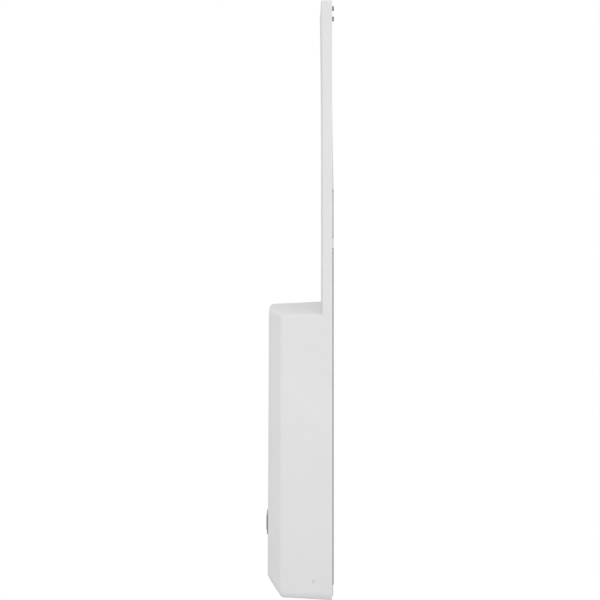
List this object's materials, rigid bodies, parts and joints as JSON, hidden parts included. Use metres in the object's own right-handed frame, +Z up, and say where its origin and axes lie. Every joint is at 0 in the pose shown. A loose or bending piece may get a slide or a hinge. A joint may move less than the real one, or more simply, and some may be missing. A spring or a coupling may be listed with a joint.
{
  "type": "security gate",
  "caption": "Slim wall-hung security gate panel with a deeper crowned lower housing, oval status lens, flat steel back plates and a lockable connector door underneath.",
  "frame": {"origin": "on the wall plane, at the centre of the four lower wall bolts", "axes": "+Z is up along the panel's length, the back lies on y = 0 and faces +Y, and the front faces -Y"},
  "size_m": [0.25, 0.1139, 1.0005],
  "materials": {
    "shell_plastic": "fine satin moulded texture, off-white",
    "spacer_plastic": "plain white moulded plastic",
    "door_plastic": "same moulded texture as the shell",
    "bay_plastic": "dark grey moulded plastic",
    "mounting_steel": "grey powder coat on steel plate",
    "chassis_steel": "zinc-plated sheet",
    "screw_steel": "bright zinc plating",
    "white_screw": "white stoved paint on a steel screw",
    "dark_screw": "dull nickel",
    "brass": "plain turned brass",
    "aluminium": "mill-finish sheet and extrusion",
    "case_metal": "cast, bead-blasted",
    "gasket_rubber": "closed-cell foam rubber",
    "grommet_rubber": "soft matt rubber",
    "cable_jacket": "smooth PVC jacket",
    "circuit_board": "green solder mask over copper tracks",
    "component_black": "moulded packages",
    "can_metal": "tin-plated cans",
    "bezel_grey": "satin grey plastic",
    "lens_smoke": "smoked translucent plastic",
    "guide_clear": "frosted clear acrylic",
    "led_white": "moulded diodes",
    "socket_black": "black socket plastic",
    "socket_metal": "nickel-plated socket",
    "terminal_green": "green terminal plastic",
    "lock_metal": "chromed zinc casting"
  },
  "bodies": {
    "panel": {"upper_cover": "shell_plastic", "lower_housing": "shell_plastic", "underside_plate": "shell_plastic", "rear_chassis": "chassis_steel", "perimeter_gasket": "gasket_rubber", "mounting_plate_lower": "mounting_steel", "mounting_plate_upper": "mounting_steel", "rear_spacers": "spacer_plastic", "plate_screws": "screw_steel", "shell_screws": "screw_steel", "top_screws": "dark_screw", "top_inserts": "brass", "weld_nuts": "screw_steel", "side_screws": "white_screw", "antenna_backplane": "aluminium", "patch_radiators": "brass", "patch_posts": "spacer_plastic", "antenna_coaxes": "cable_jacket", "coax_clips": "spacer_plastic", "standoffs": "screw_steel", "reader_case": "case_metal", "reader_board": "circuit_board", "reader_components": "can_metal", "reader_lid": "case_metal", "m3_screws": "screw_steel", "rf_connectors": "brass", "power_supply_case": "can_metal", "power_supply_board": "circuit_board", "power_supply_components": "component_black", "control_board": "circuit_board", "control_components": "component_black", "earth_stud": "screw_steel", "lens_bezel": "bezel_grey", "indicator_lens": "lens_smoke", "light_guide": "guide_clear", "status_led_board": "circuit_board", "status_leds": "led_white", "led_screws": "screw_steel", "sounder": "socket_black", "led_cable": "cable_jacket", "supply_lead": "cable_jacket", "connector_bay": "bay_plastic", "network_jack": "socket_metal", "usb_jack": "socket_metal", "power_jack": "socket_black", "terminal_block": "terminal_green", "connector_board": "circuit_board", "reset_switch": "component_black", "switch_frame": "socket_black", "cable_grommet": "grommet_rubber", "underside_screws": "screw_steel", "hinge_bracket": "chassis_steel", "hinge_pin": "screw_steel"},
    "service_door": {"door_panel": "door_plastic", "lock_body": "lock_metal", "lock_nut": "screw_steel"},
    "door_lock": {"lock_plug": "lock_metal", "lock_cam": "screw_steel"},
    "reset_key": {"reset_button": "socket_black"},
    "power_key": {"power_rocker": "socket_black"}
  },
  "joints": [
    {"name": "door_hinge", "type": "hinge", "parent": "panel", "child": "service_door", "pos_m": [0, -0.03494, -0.30495], "axis": [1, 0, 0], "range_deg": [0, 90]},
    {"name": "lock_turn", "type": "hinge", "parent": "service_door", "child": "door_lock", "pos_m": [0, -0.06308, -0.30614], "axis": [0, -0.0644, -0.9979], "range_deg": [0, 90]},
    {"name": "reset_press", "type": "slide", "parent": "panel", "child": "reset_key", "axis": [0, 0.0644, 0.9979], "range_m": [0, 0.0012], "stiffness_N_per_m": 400},
    {"name": "rocker_tilt", "type": "hinge", "parent": "panel", "child": "power_key", "pos_m": [0.052, -0.05196, -0.25815], "axis": [1, 0, 0], "range_deg": [0, 12]}
  ]
}
